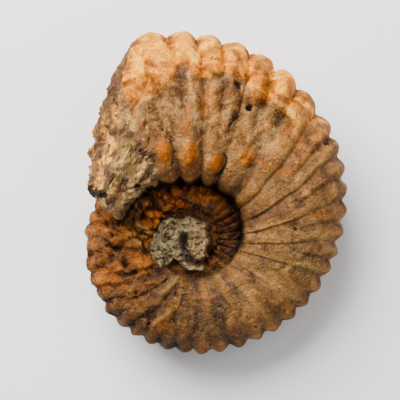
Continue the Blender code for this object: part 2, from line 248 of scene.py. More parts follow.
def ribShape(angle, flank):
    # how far from a crest towards the valleys beside it, the height of the joined ribs, 0 to 1, and the painted
    # highlight along the steep side
    i = np.clip(np.searchsorted(crests, angle) - 1, 0, len(crests) - 2)
    share = (angle - crests[i]) / (crests[i + 1] - crests[i])
    steeper = flank * curveAt(ribs["steepSide"], angle)
    valley = ribs["valleyAt"] + steeper
    side = np.where(share < valley, share / valley, (1 - share) / (1 - valley))
    valleys = pairValleys()
    steepFrom, steepTo = ribs["steepPairs"]
    valleys = valleys + ribs["steepPairShift"] * (valleys > steepFrom) * (valleys < steepTo)
    j = np.clip(np.searchsorted(valleys, angle) - 1, 0, len(valleys) - 2)
    across = np.clip((angle - valleys[j]) / (valleys[j + 1] - valleys[j]), 0, 1)
    paintedLightAndWear = ribs["highlightLine"]
    offLine = (across ** (1 - paintedLightAndWear["skew"] * steeper) - paintedLightAndWear["at"]) / paintedLightAndWear["halfWidth"]
    ridgeHighlight = np.exp(-offLine ** 2) * np.minimum(1, steeper * paintedLightAndWear["strength"])
    pair = np.sin(np.pi * across ** (1 - ribs["pairSkew"] * steeper)) ** ribs["pairRoundness"]
    return side, pair, ridgeHighlight


# uneven surface of the coil: how rough it is along its turns, then mm, octaves, shift and height of each size
skin = {
    "roughness": ((-500, 3.4), (140, 3.2), (190, 2.6), (240, 2.0), (320, 1.3), (345, 0.8), (408, 0.8),
                  (420, 1.2), (470, 1.6), (521, 1.9)),
    "sizes": ((4.5, 3, 0.0, 0.2), (1.6, 2, 4.0, 0.16)),
    "stray": 0.55,           # mm that the edges of knobs, pits and lines stray
}

# rough rock: oval patches on the flank (turn, radius, half sizes, sharpness of the edge), then the whorl's end
brokenRock = {
    "patches": ((416.5, 33.5, 3.4, 7.0, 6), (349, 28.4, 4.6, 4.4, 4)), "patchHeight": 0.35,
    "endTurns": (470, 482), "endHeight": 0.9, "endGrit": 0.8,
    # blocks: also in the umbilicus, between these turns and inside this radius; painted shade in the gaps
    # between them, less on the whorl's end
    "blockSize": 2.3, "blockHeight": 1.3, "gapDepth": 0.6, "gapDark": 0.55, "gapDarkAtEnd": 0.25,
    "blockTurns": ((60, 100), (176, 190)), "blockRadius": (14.5, 16.5),
}

# where one whorl meets the next (mm), painted shade deep in that seam, and painted shade in the gaps between
# the little ribs of the early whorls
seams = {"reach": 0.8, "underReach": 2.2, "underDrop": 1.6, "underFrom": (-60, 0),
         "gapDark": 0.62, "gapTurns": ((-60, -20), (30, 70))}


def between(starts, ends, value):
    # 1 from the first pair of limits to the second, fading over each
    return ease(*starts, value) * (1 - ease(*ends, value))


def coilPoint(turn, radius, height):
    around = np.radians(turn)
    return np.stack([radius * np.cos(around), radius * np.sin(around), height], -1)


def flakedLayer(turn, radius, crest, place, upper):
    # 1 where the outer layer has gone, and 1 for the painted shadow just below the edge that it has left
    soft = curveAt(flake["softness"], turn)
    ragged = (0.6 + soft) * lumps(place, 2.6, 3, 11.0)
    edge = curveAt(flake["edge"], turn) - flake["zigzag"] * (crest - 0.5) + ragged
    foot = ease(*flake["foot"], radius + 1.5 * lumps(place, 3.0, 2, 5.0))
    gone = (1 - ease(-1, 1, (radius - edge) / soft)) * foot
    starts = ease(*flake["starts"], turn + 1.2 * lumps(place, 3.0, 2, 8.0))
    gone = gone * upper * starts * (1 - ease(*flake["fades"], turn))
    shadowUnderEdge = np.exp(-((radius - edge + 0.5) / 0.4) ** 2) * upper * between(*flake["edgeShadowTurns"], turn)
    return gone, shadowUnderEdge


def knobsAndPits(turn, radius, stray, s, upper):
    # their height in mm, 1 on a knob, and how dark the lines beside knobs are, with painted shade in the pits
    height, amber, dark = np.zeros_like(radius), np.zeros_like(radius), np.zeros_like(radius)
    for turnAt, radiusAt, halfLong, halfWide, tall, outline in knobs:
        out = fromSpot(turn, radius + 0.6 * stray, (turnAt, radiusAt), halfWide, halfLong)
        knob = np.exp(-out ** 3.5) * ease(0.0, 0.3, np.abs(s))
        height = height + tall * knob * np.where(s > 0, 1.0, 0.6)
        amber = np.maximum(amber, knob * upper)
        line = np.exp(-((out - 1.3) / 0.28) ** 2) * upper * ease(0.0, 3.0, turnAt - turn)
        height = height - 0.3 * outline * line
        dark = np.maximum(dark, 0.8 * outline * line)
    for turnAt, radiusAt, size, deep in pits:
        strayed = turn + np.degrees(stray / 20)
        pit = np.exp(-fromSpot(strayed, radius + stray, (turnAt, radiusAt), size, size) ** 3) * upper
        height = height - deep * pit
        # painted shade in the pit, darker the deeper it is
        dark = np.maximum(dark, pit * min(1.0, 0.35 + 0.5 * deep))
    return height, amber, dark


def rockHeight(turn, radius, place, stray, upper):
    # height of the rough rock, how gritty it is, 1 on the end of the whorl, and its blocks with their gaps
    grit = np.zeros_like(radius)
    for turnAt, radiusAt, halfTurnwise, halfRadial, sharp in brokenRock["patches"]:
        out = fromSpot(turn, radius + stray, (turnAt, radiusAt), halfTurnwise, halfRadial)
        grit = np.maximum(grit, np.exp(-out ** sharp))
    grit = grit * upper
    end = ease(*brokenRock["endTurns"], turn + 5 * lumps(place, 6.0, 2, 2.0)) * upper
    grit = np.maximum(grit, brokenRock["endGrit"] * end)
    height = brokenRock["patchHeight"] * grit * lumps(place, 1.6, 2, 7.0)
    height = height + brokenRock["endHeight"] * end * lumps(place, 4.5, 3, 1.0)
    inUmbilicus = between(*brokenRock["blockTurns"], turn) * (1 - ease(*brokenRock["blockRadius"], radius))
    blocks = np.maximum(end, inUmbilicus) * upper
    tone, gap = rubble(place + 0.5 * stray[..., None], brokenRock["blockSize"], blocks)
    height = height + brokenRock["blockHeight"] * blocks * (tone - 0.5) - brokenRock["gapDepth"] * gap
    return height, grit, end, tone, gap


def whorlSkin(angle, phi):
    # angle: turn of each rib line where it crosses the outer edge; phi: radians round the section from there
    c, s = np.cos(phi), np.sin(phi)
    along = np.sign(c) * np.abs(c) ** coil["fullness"]
    across = np.sign(s) * np.abs(s) ** coil["fullness"]
    share = 0.5 + 0.5 * along - curveAt(coil["shoulderShift"], angle) * (1 - along * along)
    turn = angle + curveAt(ribs["lean"], angle) * (1 - share) ** ribs["leanPower"]
    width = curveAt(coil["halfWidth"], turn)
    outer = curveAt(coil["crestRadius"], turn)
    spiral = coilPoint(turn, outer * share, width * across)
    strayed = angle + ribs["wobble"] * lumps(spiral, 8.0, 2, 20.0) * (1 - ease(0.8, 0.97, share))
    side, pair, ridgeHighlight = ribShape(strayed, 1 - ease(0.85, 0.97, share))
    scallop = curveAt(coil["scallop"], turn) * (pair - 0.5)
    inner = curveAt(coil["seamRadius"], turn) - coil["seamOverlap"] - scallop
    rise = outer - inner
    radius = inner + rise * share
    normal = np.stack([c / rise, s / (2 * width)], -1)
    normal /= np.linalg.norm(normal, axis=-1, keepdims=True)
    upper = ease(-0.05, 0.12, s)                   # 1 on the flank that faces up
    place = coilPoint(turn, radius, width * across)

    # ribs
    sharpFlank, sharpEdge = curveAt(ribs["sharpFlank"], angle), curveAt(ribs["sharpEdge"], angle)
    crest = np.cos(np.pi / 2 * side) ** (sharpFlank + (sharpEdge - sharpFlank) * ease(0.8, 0.97, share))
    forked = ease(*ribs["fork"], share + curveAt(ribs["forkShift"], angle))
    form = forked * crest + (1 - forked) * pair
    onFlank = curveAt(ribs["onFlank"], turn)
    height = curveAt(ribs["height"], turn) * (onFlank + (1 - onFlank) * ease(0.74, 0.95, share))
    height = height * (1 + 0.35 * lumps(place, 5.0, 2, 3.0))
    relief = height * (form - 1) * ease(-0.02, 0.15, share)

    # what has flaked or broken off, and what stands out
    stray = skin["stray"] * lumps(place, 1.7, 2, 15.0)
    flaked, shadowUnderEdge = flakedLayer(turn, radius, crest, place, upper)
    spots, amber, dark = knobsAndPits(turn, radius, stray, s, upper)
    rock, grit, endRock, tone, gap = rockHeight(turn, radius, place, stray, upper)
    uneven = sum(tall * lumps(place, size, octaves, shift) for size, octaves, shift, tall in skin["sizes"])
    relief = relief - curveAt(flake["depth"], turn) * flaked + spots + rock
    relief = relief + curveAt(skin["roughness"], turn) * uneven
    # painted shadow under the flaked edge
    dark = np.maximum(dark, flake["edgeShadow"] * shadowUnderEdge)
    # painted shade in the gaps between blocks
    dark = np.maximum(dark, gap * (brokenRock["gapDark"] - brokenRock["gapDarkAtEnd"] * endRock))
    pale = np.zeros_like(radius)
    for line, halfWidth, raised, blackAndShade, paler in marks:
        mark = np.exp(-(toLine(place + stray[..., None], line) / halfWidth) ** 2) * upper
        relief = relief + raised * mark
        dark = np.maximum(dark, blackAndShade * mark)
        pale = np.maximum(pale, paler * mark)

    # painted shade: 1 deep in the seam between one whorl and the next
    nextSeam = curveAt(coil["seamRadius"], turn + 360)
    hasNext = turn + 360 < coil["end"]
    under = np.where(hasNext, np.exp(-np.abs(nextSeam - radius) / seams["underReach"]), 0)
    under = under * ease(*seams["underFrom"], turn)
    seamShade = np.maximum(np.exp(-np.clip(radius - inner - 0.3, 0, None) / seams["reach"]), under) * upper
    relief = relief - seams["underDrop"] * under * upper
    # painted shade in the gaps between the little ribs of the early whorls
    gaps = np.clip(1 - form + 0.5 * stray, 0, 1) ** 1.5 * between(*seams["gapTurns"], turn) * upper
    dark = np.maximum(dark, seams["gapDark"] * gaps)

    offset = relief[..., None] * normal
    place[..., :2] += offset[..., :1] * coilPoint(turn, 1.0, 0 * turn)[..., :2]
    place[..., 2] += offset[..., 1]
    ridgeHighlight = ridgeHighlight * upper * ease(0.1, 0.3, share) * (1 - ease(0.85, 0.95, share))
    traits = {"crest": form, "flaked": flaked, "amber": amber, "pit": dark, "grit": grit, "endRock": endRock,
              "turn": turn, "radius": radius, "seamShade": seamShade, "pale": pale, "tone": tone, "ridgeHighlight": ridgeHighlight}
    return place, traits


def spreadPhi(upperSteps, lowerSteps, backSteps):
    # radians round the section from the outer edge: fine on the upper flank, coarse at the seam and below
    upperFlank = np.linspace(0, 166, upperSteps, endpoint=False)
    back = np.linspace(166, 194, backSteps, endpoint=False)
    lowerFlank = np.linspace(194, 360, lowerSteps, endpoint=False)
    return np.radians(np.concatenate([upperFlank, back, lowerFlank]))


def breakAt(y, z):
    # how far left the stone reaches, at a height and depth, on the broken outer end
    line = np.array(breakLine)[::-1]
    x = np.interp(y, line[:, 1], line[:, 0])
    ragged = breakLumps * lumps(np.stack([0 * y, y, z], -1), 3.0, 3, 2.0)
    return x + np.interp(y, line[:, 1], line[:, 2]) * np.abs(z) + ragged


def addPiece(name, points, faces, traits, material):
    # a mesh in the frame's metres, with what the materials need to know kept on its points
    points = points @ np.array(coilToFrame.to_3x3()).T + np.array(coilToFrame.translation)
    points[:, 2] = np.maximum(points[:, 2], 0)     # worn flat where it lies
    mesh = bpy.data.meshes.new(name)
    mesh.from_pydata(points.tolist(), [], faces)
    mesh.validate()
    for trait, values in traits.items():
        layer = mesh.attributes.new(trait, "FLOAT", "POINT")
        layer.data.foreach_set("value", np.asarray(values, dtype=np.float32).ravel())
    mesh.shade_smooth()
    mesh.materials.append(material)
    piece = bpy.data.objects.new(name, mesh)
    bpy.context.scene.collection.objects.link(piece)
    return piece


def gridFaces(rows, columns, start=0):
    # quads between rows of points that close round
    i, j = np.meshgrid(np.arange(rows - 1), np.arange(columns), indexing="ij")
    k = (j + 1) % columns
    quads = np.stack([i * columns + j, i * columns + k, (i + 1) * columns + k, (i + 1) * columns + j], -1)
    return (quads.reshape(-1, 4) + start).tolist()


# points of the whorls: round the section, degrees between rows, and rows of the last one from hinge to break
lastMesh = {"upper": 112, "lower": 46, "back": 6, "step": 0.63, "hinge": 432.0, "freeRows": 108,
            "faceRings": 26}
innerMesh = {"upper": 60, "lower": 30, "back": 4, "step": 1.2, "buriedStep": 3.5, "buriedTo": -200}


def lastWhorl(material):
    phi = spreadPhi(lastMesh["upper"], lastMesh["lower"], lastMesh["back"])
    freeRows, hingeTurn = lastMesh["freeRows"], lastMesh["hinge"]
    steps = np.concatenate([np.arange(coil["split"], hingeTurn, lastMesh["step"]),
                            np.linspace(hingeTurn, coil["end"], freeRows)])
    stride = steps[-1] - steps[-2]
    angle = steps[:, None] + 0 * phi[None, :]
    place, traits = whorlSkin(angle, phi[None, :] + 0 * angle)
    # each rib line stops at the break: squeeze the last part of every column to end on it
    beyond = place[..., 0] - breakAt(place[..., 1], place[..., 2])
    hinge = len(steps) - freeRows
    stops = np.full(len(phi), steps[-1])
    for j in range(len(phi)):
        column = beyond[hinge:, j]
        passed = np.nonzero(column < 0)[0]
        if len(passed):
            first = passed[0]
            part = column[first - 1] / (column[first - 1] - column[first])
            stops[j] = steps[hinge + first - 1] + part * stride
    stops = (np.roll(stops, 1) + stops + np.roll(stops, -1)) / 3
    angle[hinge:] = hingeTurn + np.linspace(0, 1, freeRows)[:, None] * (stops - hingeTurn)
    place, traits = whorlSkin(angle, phi[None, :] + 0 * angle)
    rows, columns = angle.shape
    points = place.reshape(-1, 3)
    faces = gridFaces(rows, columns)
    face, faceTraits = brokenFace(place[-1])
    faces += gridFaces(len(face) // columns + 1, columns, (rows - 1) * columns)
    middle = len(points) + len(face)
    lastRing = middle - columns
    faces += [(lastRing + j, lastRing + (j + 1) % columns, middle) for j in range(columns)]
    points = np.concatenate([points, face, face[-columns:].mean(axis=0, keepdims=True)])
    whole = {}
    for trait, values in traits.items():
        extra = faceTraits.get(trait, np.zeros(len(face)))
        whole[trait] = np.concatenate([values.ravel(), extra, extra[-1:]])
    whole["cream"] = np.concatenate([np.zeros(rows * columns), faceTraits["cream"], faceTraits["cream"][-1:]])
    return addPiece("lastWhorl", points, faces, whole, material)


# the rough break (mm): heights over which it blends into its rim, its blocks, and what its points are given
brokenEnd = {"held": (6.0, 11.0), "blockSize": 3.0, "blockHeight": 0.8, "gapDepth": 0.5, "crustWidth": 1.2,
             "traits": {"cream": 1, "grit": 0.7, "endRock": 0.3, "turn": 500}}


def brokenFace(rim):
    # rings from the rim of the break to its middle, laid on the break's rough surface
    middle = rim.mean(axis=0)
    rings = []
    for share in np.linspace(0, 1, lastMesh["faceRings"] + 2)[1:-1] ** 0.9:
        ring = rim + (middle - rim) * share
        hold = ease(0, 0.06, share) * ease(*brokenEnd["held"], ring[:, 1])
        flat = breakAt(ring[:, 1], ring[:, 2])
        rough = 0.7 * lumps(ring, 4.0, 4, 6.0) + 0.9 * (0.3 - np.abs(lumps(ring, 1.8, 3, 9.0)))
        ring[:, 0] += hold * (flat + rough - ring[:, 0])
        rings.append(ring)
    face = np.concatenate(rings)
    count = len(face)
    tone, gap = rubble(face, brokenEnd["blockSize"], np.ones(count), 5.0)
    blocks = brokenEnd["blockHeight"] * (tone - 0.5) - brokenEnd["gapDepth"] * gap
    face[:, 0] += blocks * ease(*brokenEnd["held"], face[:, 1])
    strayed = face + 0.6 * lumps(face, 1.4, 2, 4.0)[:, None]
    crust = np.exp(-(toLine(strayed, blackCrust) / brokenEnd["crustWidth"]) ** 4) * ease(0.0, 3.0, face[:, 2])
    traits = {name: value * np.ones(count) for name, value in brokenEnd["traits"].items()}
    # black crust, and a lower crest value in the gaps between blocks, where painted shade and dirt gather
    traits.update({"pit": 0.9 * crust, "radius": np.hypot(face[:, 0], face[:, 1]), "crest": 0.6 - 0.4 * gap,
                   "tone": tone})
    return face, traits


def innerWhorls(material):
    phi = spreadPhi(innerMesh["upper"], innerMesh["lower"], innerMesh["back"])
    buriedTo = innerMesh["buriedTo"]
    steps = np.concatenate([np.arange(coil["start"], buriedTo, innerMesh["buriedStep"]),
                            np.arange(buriedTo, coil["split"] + 14, innerMesh["step"])])
    angle = steps[:, None] + 0 * phi[None, :]
    place, traits = whorlSkin(angle, phi[None, :] + 0 * angle)
    points = place.reshape(-1, 3)
    # past the split it dives under the last whorl
    past = ease(coil["split"] - 1, coil["split"] + 6, angle).reshape(-1)
    points = points * (1 - 0.06 * past[:, None])
    traits["cream"] = 0 * traits["crest"]
    return addPiece("innerWhorls", points, gridFaces(*angle.shape), traits, material)


def addNode(tree, kind, settings=None, **sockets):
    # sockets are given by name with _ for a space, or as i and a number; a value that is a socket is linked
    new = tree.nodes.new(kind)
    for key, value in (settings or {}).items():
        setattr(new, key, value)
    for key, value in sockets.items():
        numbered = key[0] == "i" and key[1:].isdigit()
        target = new.inputs[int(key[1:]) if numbered else key.replace("_", " ")]
        if isinstance(value, bpy.types.NodeSocket):
            tree.links.new(value, target)
        else:
            target.default_value = value
    return new


def mixColour(tree, factor, first, second, how="MIX"):
    new = addNode(tree, "ShaderNodeMix", {"data_type": "RGBA", "blend_type": how})
    for index, value in ((0, factor), (6, first), (7, second)):
        if isinstance(value, bpy.types.NodeSocket):
            tree.links.new(value, new.inputs[index])
        else:
            new.inputs[index].default_value = value if index == 0 else (*value, 1)
    return new.outputs[2]


def sums(tree, how, first, second, third=None):
    values = {"i0": first, "i1": second}
    if third is not None:
        values["i2"] = third
    return addNode(tree, "ShaderNodeMath", {"operation": how}, **values).outputs[0]


def mapped(tree, value, low, high, to=(0.0, 1.0)):
    smooth = {"interpolation_type": "SMOOTHSTEP"}
    return addNode(tree, "ShaderNodeMapRange", smooth, Value=value, From_Min=low, From_Max=high, To_Min=to[0],
                   To_Max=to[1]).outputs[0]


def linear(tree, value, low, high):
    return addNode(tree, "ShaderNodeMapRange", Value=value, From_Min=low, From_Max=high).outputs[0]


def tinted(tree, colour, stops, value):
    # colour multiplied by a ramp over a value
    return mixColour(tree, 1.0, colour, ramp(tree, value, stops), "MULTIPLY")


def trait(tree, name):
    return addNode(tree, "ShaderNodeAttribute", {"attribute_name": name}).outputs["Fac"]


def ramp(tree, value, stops):
    new = addNode(tree, "ShaderNodeValToRGB", Fac=value)
    band = new.color_ramp
    band.interpolation = "LINEAR"
    while len(band.elements) < len(stops):
        band.elements.new(0.5)
    for element, (place, colour) in zip(band.elements, stops):
        element.position = place
        element.color = (*colour, 1)
    return new.outputs[0]


def newGroup(name, inputs, outputs):
    group = bpy.data.node_groups.new(name, "ShaderNodeTree")
    for label, kind, value in inputs:
        socket = group.interface.new_socket(label, in_out="INPUT", socket_type=kind)
        if value is not None:
            socket.default_value = value
    for label, kind in outputs:
        group.interface.new_socket(label, in_out="OUTPUT", socket_type=kind)
    return group, group.nodes.new("NodeGroupInput"), group.nodes.new("NodeGroupOutput")


def grainGroup():
    # uneven colour of stone at three sizes, thin chips with a sharp rim, specks, and a height
    group, given, out = newGroup(
        "stone grain",
        [("Patch Size", "NodeSocketFloat", 9.0), ("Mottle Size", "NodeSocketFloat", 3.0),
         ("Grain Size", "NodeSocketFloat", 0.6), ("Pebbly", "NodeSocketFloat", 0.5)],
        [(label, "NodeSocketFloat")
         for label in ("Patch", "Mottle", "Fine", "Chips", "Rim", "Sparkle", "Fleck", "Height")])
    where = addNode(group, "ShaderNodeTexCoord").outputs["Object"]
    inMm = addNode(group, "ShaderNodeVectorMath", {"operation": "SCALE"}, i0=where, Scale=1000.0).outputs[0]

    def field(size, detail, roughness, distortion=0.0, seed=0.0):
        scale = sums(group, "DIVIDE", 1.0, size)
        add = {"operation": "ADD"}
        moved = addNode(group, "ShaderNodeVectorMath", add, i0=inMm, i1=(seed, seed, seed)).outputs[0]
        return addNode(group, "ShaderNodeTexNoise", Vector=moved, Scale=scale, Detail=detail,
                       Roughness=roughness, Distortion=distortion).outputs["Fac"]

    patches = field(given.outputs["Patch Size"], 5.0, 0.6, 0.8, 40.0)
    mottle = field(given.outputs["Mottle Size"], 4.0, 0.55, 0.8)
    fine = field(given.outputs["Grain Size"], 3.0, 0.65, 0.0, 17.0)
    flaky = field(sums(group, "MULTIPLY", given.outputs["Mottle Size"], 0.9), 6.0, 0.55, 1.2, 55.0)
    chips = mapped(group, flaky, 0.50, 0.53)
    rim = mapped(group, sums(group, "ABSOLUTE", sums(group, "SUBTRACT", flaky, 0.505), 0.0), 0.014, 0.002)
    cluster = mapped(group, patches, 0.46, 0.60)
    sparkle = sums(group, "MULTIPLY", mapped(group, field(0.8, 3.0, 0.6, 0.6, 70.0), 0.62, 0.70), cluster)
    fleck = mapped(group, field(1.5, 4.0, 0.62, 0.6, 90.0), 0.37, 0.31)
    cells = addNode(group, "ShaderNodeTexVoronoi", {"feature": "F1"}, Vector=inMm,
                    Scale=sums(group, "DIVIDE", 1.0, given.outputs["Grain Size"])).outputs["Distance"]
    pebbles = sums(group, "MULTIPLY", cells, sums(group, "MULTIPLY", given.outputs["Pebbly"], -0.6))
    height = sums(group, "MULTIPLY_ADD", mottle, 1.4, sums(group, "MULTIPLY_ADD", fine, 0.4, pebbles))
    height = sums(group, "MULTIPLY_ADD", chips, 0.22, height)
    height = sums(group, "MULTIPLY_ADD", fleck, -0.5, height)
    for label, value in (("Patch", patches), ("Mottle", mottle), ("Fine", fine), ("Chips", chips),
                         ("Rim", rim), ("Sparkle", sparkle), ("Fleck", fleck), ("Height", height)):
        group.links.new(value, out.inputs[label])
    return group


def shadeAndWearGroup():
    # painted shade and dirt in the low places and a paler, rubbed colour on the high ones
    group, given, out = newGroup(
        "shade and wear",
        [("Colour", "NodeSocketColor", None), ("High", "NodeSocketFloat", 0.5),
         ("Noise", "NodeSocketFloat", 0.5), ("Dirt", "NodeSocketFloat", 0.5), ("Rub", "NodeSocketFloat", 0.3),
         ("Dirt Colour", "NodeSocketColor", (0.040, 0.017, 0.006, 1)),
         ("Rub Colour", "NodeSocketColor", (0.50, 0.20, 0.03, 1))],
        [("Colour", "NodeSocketColor")])
    ragged = sums(group, "MULTIPLY_ADD", sums(group, "SUBTRACT", given.outputs["Noise"], 0.5), 0.9,
                  given.outputs["High"])
    low = sums(group, "MULTIPLY", mapped(group, ragged, 0.32, 0.0), given.outputs["Dirt"])
    high = sums(group, "MULTIPLY", mapped(group, ragged, 0.6, 1.05), given.outputs["Rub"])
    colour = mixColour(group, high, given.outputs["Colour"], given.outputs["Rub Colour"])
    colour = mixColour(group, low, colour, given.outputs["Dirt Colour"])
    group.links.new(colour, out.inputs["Colour"])
    return group


def patch(tree, mask, noise, low=0.35, high=0.6, ragged=0.7):
    # a region with an uneven edge
    edge = sums(tree, "MULTIPLY_ADD", sums(tree, "SUBTRACT", noise, 0.5), ragged, mask)
    return mapped(tree, edge, low, high)


def ochreStone(grain, shadeAndWear):
    look = {"rust": (0.150, 0.042, 0.010), "rustDark": (0.050, 0.016, 0.006), "orange": (0.34, 0.095, 0.006),
            "tan": (0.190, 0.086, 0.028), "dull": (0.098, 0.048, 0.020), "light": (0.33, 0.155, 0.042),
            "olive": (0.080, 0.050, 0.024), "plum": (0.062, 0.026, 0.018), "earth": (0.110, 0.050, 0.020),
            "shell": (0.32, 0.075, 0.000), "peach": (0.66, 0.19, 0.000), "bright": (0.95, 0.40, 0.000),
            "cream": (0.95, 0.56, 0.12), "fill": (0.155, 0.062, 0.012), "greenGrey": (0.295, 0.184, 0.055),
            "mauve": (0.15, 0.080, 0.045), "amber": (0.30, 0.072, 0.002), "pale": (0.50, 0.29, 0.08),
            "paleGreen": (0.47, 0.325, 0.098), "blackAndShade": (0.010, 0.006, 0.005), "palest": (0.95, 0.66, 0.34),
            # turns over which the colour changes, and mm from the middle where the bright layer begins
            "brownTurns": (195.0, 240.0), "tanTurns": (275.0, 325.0), "shellTurns": (385.0, 430.0),
            "shellRadius": (26.0, 42.0), "tipRadius": (48.0, 56.0), "tipStrength": 0.6,
            # lightness along the whorl: share of these turns, then a tint
            "lightTurns": (150.0, 450.0),
            "lightness": ((0.13, (0.94, 0.94, 1.0)), (0.24, (0.66, 0.64, 0.74)), (0.34, (0.62, 0.64, 0.76)),
                          (0.45, (0.88, 0.90, 1.0)), (0.70, (0.88, 0.92, 1.06)), (0.80, (1.06, 1.06, 1.2))),
            "umbilicusTint": (1.9, 1.6, 1.8), "fillTint": (0.82, 0.84, 0.98),
            "innerRockRadius": (27.0, 20.0), "innerRockTint": (1.35, 1.5, 1.8)}
    stone = bpy.data.materials.new("ochre stone")
    stone.use_nodes = True
    tree = stone.node_tree
    finish = tree.nodes["Principled BSDF"]
    speck = addNode(tree, "ShaderNodeGroup", {"node_tree": grain}, Patch_Size=9.0, Mottle_Size=4.2,
                    Grain_Size=0.55, Pebbly=0.4)
    patches, mottle, fine, chips = (speck.outputs[name] for name in ("Patch", "Mottle", "Fine", "Chips"))
    turn, radius = trait(tree, "turn"), trait(tree, "radius")
    wander = sums(tree, "MULTIPLY_ADD", sums(tree, "SUBTRACT", patches, 0.5), 90.0, turn)
    along = addNode(tree, "ShaderNodeCombineXYZ", X=sums(tree, "MULTIPLY", turn, 0.26),
                    Y=sums(tree, "MULTIPLY", radius, 0.11), Z=sums(tree, "MULTIPLY", patches, 1.5)).outputs[0]
    streaks = addNode(tree, "ShaderNodeTexNoise", Vector=along, Scale=1.0, Detail=5.0, Roughness=0.6,
                      Distortion=0.4).outputs["Fac"]

    # rusty early whorls, duller and browner further on, tan on the last third
    blocky = sums(tree, "MULTIPLY_ADD", sums(tree, "SUBTRACT", trait(tree, "tone"), 0.5), 0.25, mottle)
    rust = ramp(tree, blocky, [(0.36, look["rustDark"]), (0.50, look["rust"]), (0.64, look["orange"])])
    brown = ramp(tree, mottle, [(0.36, look["plum"]), (0.46, look["olive"]), (0.55, look["earth"]),
                                (0.70, look["tan"])])
    tan = ramp(tree, mottle, [(0.33, look["dull"]), (0.48, look["tan"]), (0.70, look["light"])])
    base = mixColour(tree, mapped(tree, wander, *look["brownTurns"], (0.0, 0.85)), rust, brown)
    base = mixColour(tree, mapped(tree, wander, *look["tanTurns"]), base, tan)
    base = mixColour(tree, mapped(tree, patches, 0.46, 0.36, (0.0, 0.65)), base, look["olive"])
    rusty = sums(tree, "MULTIPLY", mapped(tree, patches, 0.59, 0.67),
                 mapped(tree, turn, 150.0, 190.0, (0.15, 0.6)))
    base = mixColour(tree, rusty, base, look["orange"])

    # the bright outer layer at the wide end, and the fill where it has flaked off
    outer = sums(tree, "MULTIPLY", mapped(tree, wander, *look["shellTurns"]),
                 mapped(tree, radius, *look["shellRadius"]))
    shell = ramp(tree, mottle, [(0.36, look["fill"]), (0.44, look["shell"]), (0.54, look["peach"]),
                                (0.64, look["bright"]), (0.78, look["cream"])])
    base = mixColour(tree, outer, base, shell)
    raggedRadius = sums(tree, "MULTIPLY_ADD", mottle, 8.0, radius)
    # the outer tips of the high ribs are brighter: partly the stone's colour, partly a painted highlight
    tips = sums(tree, "MULTIPLY", mapped(tree, raggedRadius, *look["tipRadius"]),
                mapped(tree, trait(tree, "crest"), 0.5, 0.9))
    base = mixColour(tree, sums(tree, "MULTIPLY", tips, look["tipStrength"]), base, look["bright"])
    fill = ramp(tree, mottle, [(0.34, look["dull"]), (0.44, look["fill"]), (0.56, look["light"]),
                               (0.72, look["greenGrey"])])
    fill = mixColour(tree, mapped(tree, streaks, 0.46, 0.34, (0.0, 0.7)), fill, look["olive"])
    fill = mixColour(tree, mapped(tree, streaks, 0.54, 0.66, (0.0, 0.7)), fill, look["orange"])
    fill = mixColour(tree, 1.0, fill, look["fillTint"], "MULTIPLY")
    base = mixColour(tree, patch(tree, trait(tree, "flaked"), mottle, 0.25, 0.65, 0.8), base, fill)

    # rubbly rock at the end of the whorl, grit, and the break with its darker upper band
    blocks = sums(tree, "MULTIPLY_ADD", sums(tree, "SUBTRACT", trait(tree, "tone"), 0.5), 0.4, mottle)
    lumpy = addNode(tree, "ShaderNodeGroup", {"node_tree": grain}, Patch_Size=5.0, Mottle_Size=2.2,
                    Grain_Size=0.5, Pebbly=0.2)
    rock = ramp(tree, blocks, [(0.34, look["dull"]), (0.43, look["mauve"]), (0.50, look["tan"]),
                               (0.57, look["greenGrey"]), (0.68, look["paleGreen"])])
    rock = mixColour(tree, mapped(tree, lumpy.outputs["Patch"], 0.55, 0.65, (0.0, 0.7)), rock, look["light"])
    innerRock = mapped(tree, radius, *look["innerRockRadius"])
    rock = mixColour(tree, innerRock, rock, look["innerRockTint"], "MULTIPLY")
    base = mixColour(tree, patch(tree, trait(tree, "endRock"), patches, 0.35, 0.7, 1.0), base, rock)
    gritty = mixColour(tree, mapped(tree, fine, 0.42, 0.58), look["dull"], look["greenGrey"])
    gritHere = sums(tree, "MULTIPLY", patch(tree, trait(tree, "grit"), mottle),
                    mapped(tree, trait(tree, "endRock"), 0.0, 0.5, (0.45, 0.12)))
    base = mixColour(tree, gritHere, base, gritty)
    broken = ramp(tree, blocks, [(0.34, look["dull"]), (0.43, look["tan"]), (0.52, look["light"]),
                                 (0.62, look["bright"]), (0.74, look["cream"])])
    broken = mixColour(tree, mapped(tree, raggedRadius, 38.0, 44.0, (0.0, 0.8)), broken, look["dull"])
    base = mixColour(tree, patch(tree, trait(tree, "cream"), mottle), base, broken)
    base = mixColour(tree, sums(tree, "MULTIPLY", trait(tree, "pale"), 0.9), base, look["pale"])
    base = mixColour(tree, patch(tree, trait(tree, "amber"), mottle, 0.35, 0.6, 0.9), base, look["amber"])

